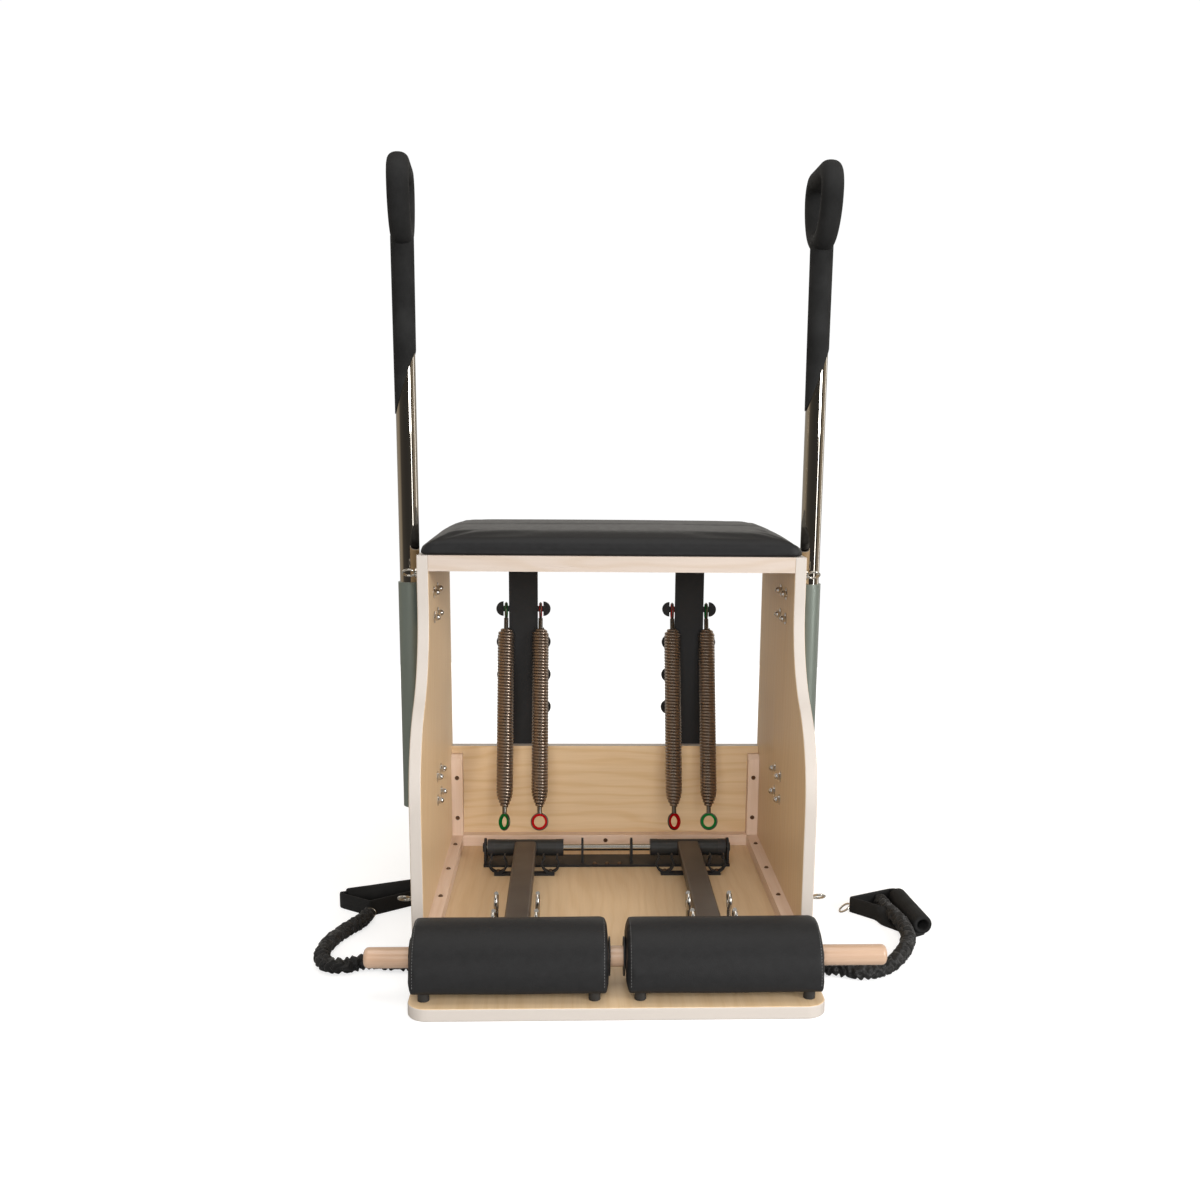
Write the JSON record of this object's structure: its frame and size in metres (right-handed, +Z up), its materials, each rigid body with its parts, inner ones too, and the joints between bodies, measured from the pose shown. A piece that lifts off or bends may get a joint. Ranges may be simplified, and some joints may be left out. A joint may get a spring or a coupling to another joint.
{
  "type": "pilates chair",
  "caption": "Plywood exercise chair with a padded seat, split spring pedals joined by a loose rod, hanging springs, upright loop handles and elastic hand straps.",
  "frame": {"origin": "centre of the base board's footprint, on the floor", "axes": "+X to the right of the chair seen from the front, +Y to the back, +Z up"},
  "size_m": [0.9493, 0.7445, 1.17],
  "materials": {
    "plywood": "clear lacquer",
    "beech": "satin",
    "rod_wood": "satin",
    "pedal_ply": "raw",
    "black_leather": "soft sheen",
    "dark_steel": "dull",
    "black_metal": "satin black",
    "arm_metal": "satin brown grey",
    "chrome": "polished",
    "sleeve_metal": "metallic grey green",
    "nut_steel": "bright",
    "spring_bronze": "dark bronze",
    "ring_green": "chrome rim with green thimble",
    "ring_red": "chrome rim with red thimble",
    "bush_plastic": "matt",
    "black_foam": "matt foam",
    "rubber_feet": "matt",
    "cord_fabric": "ruched sleeve",
    "webbing": "woven"
  },
  "bodies": {
    "frame": {"base_board": "plywood", "left_side_board": "plywood", "right_side_board": "plywood", "seat_board": "plywood", "back_panel": "plywood", "seat_cushion": "black_leather", "rear_cleat": "beech", "side_cleats": "beech", "corner_cleats": "beech", "wood_screws": "dark_steel", "left_spring_plate": "black_metal", "right_spring_plate": "black_metal", "axle_bracket": "black_metal", "pedal_shaft": "chrome", "shaft_nuts": "black_metal", "clip_bars": "black_metal", "left_clips": "black_metal", "right_clips": "black_metal", "left_sleeve": "sleeve_metal", "right_sleeve": "sleeve_metal", "sleeve_bolts": "nut_steel", "sleeve_nuts": "nut_steel", "side_eyes": "chrome", "cord_anchors": "bush_plastic", "left_cord": "cord_fabric", "right_cord": "cord_fabric", "left_strap_tube": "black_foam", "right_strap_tube": "black_foam", "left_strap": "webbing", "right_strap": "webbing", "strap_rings": "chrome"},
    "left_pedal": {"left_hub": "black_metal", "left_bushes": "bush_plastic", "left_arm": "arm_metal", "left_pedal_board": "pedal_ply", "left_pedal_pad": "black_leather", "left_rod_tube": "black_metal", "left_pedal_feet": "rubber_feet", "left_hooks": "chrome"},
    "right_pedal": {"right_hub": "black_metal", "right_bushes": "bush_plastic", "right_arm": "arm_metal", "right_pedal_board": "pedal_ply", "right_pedal_pad": "black_leather", "right_rod_tube": "black_metal", "right_pedal_feet": "rubber_feet", "right_hooks": "chrome"},
    "pedal_rod": {"pedal_rod": "rod_wood"},
    "left_handle": {"left_pole": "chrome", "left_grip": "black_foam"},
    "right_handle": {"right_pole": "chrome", "right_grip": "black_foam"},
    "left_outer_spring": {"left_outer_coil": "spring_bronze", "left_outer_rings": "ring_green"},
    "left_inner_spring": {"left_inner_coil": "spring_bronze", "left_inner_rings": "ring_red"},
    "right_inner_spring": {"right_inner_coil": "spring_bronze", "right_inner_rings": "ring_red"},
    "right_outer_spring": {"right_outer_coil": "spring_bronze", "right_outer_rings": "ring_green"}
  },
  "joints": [
    {"name": "left_pedal_hinge", "type": "hinge", "parent": "frame", "child": "left_pedal", "pos_m": [-0.144, 0.2335, 0.045], "axis": [-1, 0, 0], "range_deg": [0, 35]},
    {"name": "right_pedal_hinge", "type": "hinge", "parent": "frame", "child": "right_pedal", "pos_m": [0.144, 0.2335, 0.045], "axis": [-1, 0, 0], "range_deg": [0, 35]},
    {"name": "rod_slide", "type": "slide", "parent": "left_pedal", "child": "pedal_rod", "axis": [1, 0, 0], "range_m": [0, 0.74]},
    {"name": "left_handle_slide", "type": "slide", "parent": "frame", "child": "left_handle", "axis": [0, 0, 1], "range_m": [0, 0.374]},
    {"name": "right_handle_slide", "type": "slide", "parent": "frame", "child": "right_handle", "axis": [0, 0, 1], "range_m": [0, 0.374]},
    {"name": "left_outer_spring_swing", "type": "hinge", "parent": "frame", "child": "left_outer_spring", "pos_m": [-0.1815, 0.3665, 0.454], "axis": [-1, 0, 0], "range_deg": [0, 50]},
    {"name": "left_inner_spring_swing", "type": "hinge", "parent": "frame", "child": "left_inner_spring", "pos_m": [-0.1195, 0.3665, 0.454], "axis": [-1, 0, 0], "range_deg": [0, 50]},
    {"name": "right_inner_spring_swing", "type": "hinge", "parent": "frame", "child": "right_inner_spring", "pos_m": [0.1195, 0.3665, 0.454], "axis": [-1, 0, 0], "range_deg": [0, 50]},
    {"name": "right_outer_spring_swing", "type": "hinge", "parent": "frame", "child": "right_outer_spring", "pos_m": [0.1815, 0.3665, 0.454], "axis": [-1, 0, 0], "range_deg": [0, 50]}
  ],
  "couplings": [
    {"joint": "right_pedal_hinge", "follows": "left_pedal_hinge", "ratio": 1}
  ]
}
